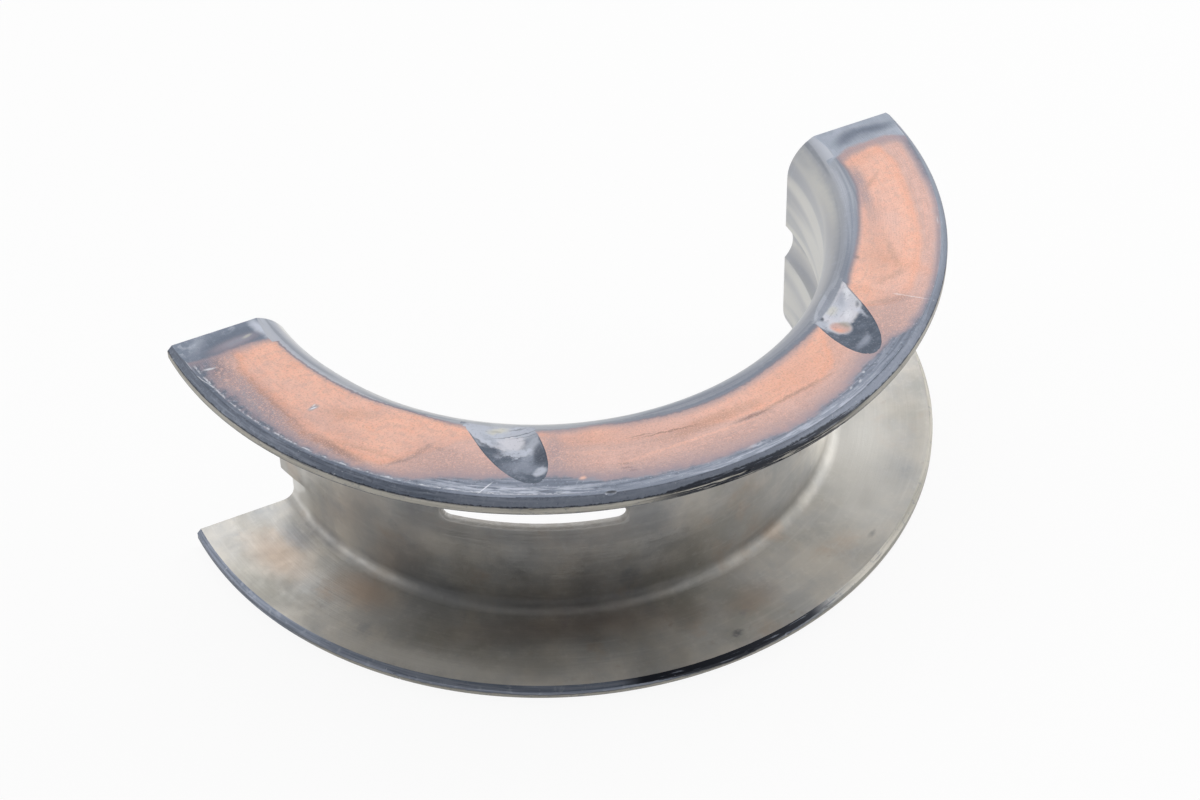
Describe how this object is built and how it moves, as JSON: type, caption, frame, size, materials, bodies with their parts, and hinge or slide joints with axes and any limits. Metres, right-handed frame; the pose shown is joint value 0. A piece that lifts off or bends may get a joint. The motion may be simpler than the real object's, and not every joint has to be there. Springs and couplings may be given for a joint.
{
  "type": "engine bearing shell",
  "caption": "Half-round plain bearing shell with a thrust flange along each edge, an oil groove round its bore and an oil slot through its wall.",
  "frame": {"origin": "centre of the box of the shell, at the height of its lower thrust face", "axes": "+Z along the bearing's axis from the lower flange to the upper one, -Y towards the crown of the shell, +Y out of the parting faces, +X along the line that joins the two parting faces, away from the locating lug"},
  "size_m": [0.12, 0.06, 0.04],
  "materials": {
    "lined_steel": "dull bare steel back, grey overlay worn through to copper on the thrust faces"
  },
  "bodies": {
    "root": {"bearing_shell": "lined_steel"}
  },
  "joints": []
}
